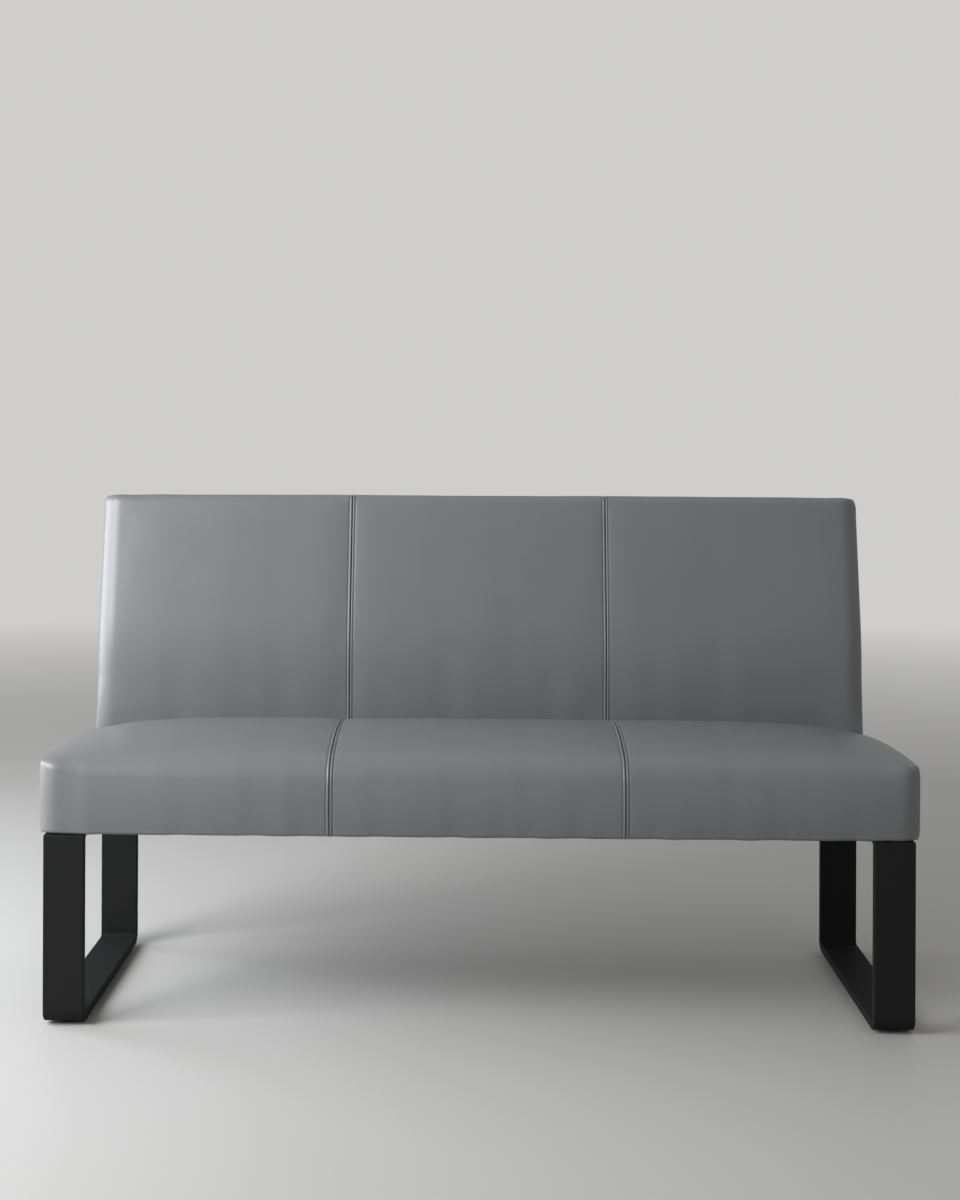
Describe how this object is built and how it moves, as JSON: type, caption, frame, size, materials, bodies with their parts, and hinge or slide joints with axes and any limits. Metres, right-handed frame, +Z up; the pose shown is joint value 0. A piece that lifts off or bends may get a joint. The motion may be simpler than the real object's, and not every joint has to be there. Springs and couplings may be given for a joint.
{
  "type": "dining bench",
  "caption": "Upholstered dining bench with a reclined padded backrest in grey leather, sewn in panels, on black steel sled legs with levelling feet.",
  "frame": {"origin": "on the floor under the middle of the bench's bounding box", "axes": "+X to the right seen from the front, +Y to the backrest, +Z up"},
  "size_m": [1.51, 0.5982, 0.89],
  "materials": {
    "grey_leather": "satin",
    "foam": "matte",
    "pine": "matte",
    "plywood": "matte",
    "hardboard": "matte",
    "black_steel": "matte",
    "zinc_steel": "satin",
    "black_plastic": "matte",
    "black_lining": "matte",
    "sole_rubber": "matte"
  },
  "bodies": {
    "frame": {"back_bolts": "zinc_steel", "back_bottom_rail": "pine", "back_cover_left": "grey_leather", "back_cover_middle": "grey_leather", "back_cover_right": "grey_leather", "back_end_post_left": "pine", "back_end_post_right": "pine", "back_foam": "foam", "back_front_board": "hardboard", "back_lumbar_rail_left": "pine", "back_lumbar_rail_middle": "pine", "back_lumbar_rail_right": "pine", "back_middle_post_left": "pine", "back_middle_post_right": "pine", "back_rear_board": "hardboard", "back_side_panel_left": "grey_leather", "back_side_panel_right": "grey_leather", "back_tee_nuts": "zinc_steel", "back_top_rail": "pine", "back_washers": "zinc_steel", "dust_cover": "black_lining", "foot_nuts": "zinc_steel", "front_corner_block_left": "pine", "front_corner_block_right": "pine", "leg_bolts": "zinc_steel", "leg_inserts": "zinc_steel", "leg_left": "black_steel", "leg_right": "black_steel", "leg_washers": "zinc_steel", "rear_corner_block_left": "pine", "rear_corner_block_right": "pine", "rear_cover": "grey_leather", "seat_cover_left": "grey_leather", "seat_cover_middle": "grey_leather", "seat_cover_right": "grey_leather", "seat_cross_rail_left": "pine", "seat_cross_rail_right": "pine", "seat_deck": "plywood", "seat_end_rail_left": "pine", "seat_end_rail_right": "pine", "seat_foam": "foam", "seat_front_rail": "pine", "seat_rear_rail": "pine", "seat_side_panel_left": "grey_leather", "seat_side_panel_right": "grey_leather"},
    "pad_front_left": {"foot_pad_front_left": "sole_rubber"},
    "screw_front_left": {"foot_screw_front_left": "black_plastic"},
    "pad_front_right": {"foot_pad_front_right": "sole_rubber"},
    "screw_front_right": {"foot_screw_front_right": "black_plastic"},
    "pad_rear_left": {"foot_pad_rear_left": "sole_rubber"},
    "screw_rear_left": {"foot_screw_rear_left": "black_plastic"},
    "pad_rear_right": {"foot_pad_rear_right": "sole_rubber"},
    "screw_rear_right": {"foot_screw_rear_right": "black_plastic"}
  },
  "joints": [
    {"name": "level_front_left", "type": "slide", "parent": "frame", "child": "pad_front_left", "axis": [0, 0, -1], "range_m": [0, 0.006]},
    {"name": "turn_front_left", "type": "hinge", "parent": "pad_front_left", "child": "screw_front_left", "pos_m": [-0.706, -0.25104, 0], "axis": [0, 0, -1], "range_deg": [0, 1729]},
    {"name": "level_front_right", "type": "slide", "parent": "frame", "child": "pad_front_right", "axis": [0, 0, -1], "range_m": [0, 0.006]},
    {"name": "turn_front_right", "type": "hinge", "parent": "pad_front_right", "child": "screw_front_right", "pos_m": [0.706, -0.25104, 0], "axis": [0, 0, -1], "range_deg": [0, 1729]},
    {"name": "level_rear_left", "type": "slide", "parent": "frame", "child": "pad_rear_left", "axis": [0, 0, -1], "range_m": [0, 0.006]},
    {"name": "turn_rear_left", "type": "hinge", "parent": "pad_rear_left", "child": "screw_rear_left", "pos_m": [-0.706, 0.15096, 0], "axis": [0, 0, -1], "range_deg": [0, 1729]},
    {"name": "level_rear_right", "type": "slide", "parent": "frame", "child": "pad_rear_right", "axis": [0, 0, -1], "range_m": [0, 0.006]},
    {"name": "turn_rear_right", "type": "hinge", "parent": "pad_rear_right", "child": "screw_rear_right", "pos_m": [0.706, 0.15096, 0], "axis": [0, 0, -1], "range_deg": [0, 1729]}
  ],
  "couplings": [
    {"joint": "turn_front_left", "follows": "level_front_left", "rad_per_m": 5026.5},
    {"joint": "turn_front_right", "follows": "level_front_right", "rad_per_m": 5026.5},
    {"joint": "turn_rear_left", "follows": "level_rear_left", "rad_per_m": 5026.5},
    {"joint": "turn_rear_right", "follows": "level_rear_right", "rad_per_m": 5026.5}
  ]
}
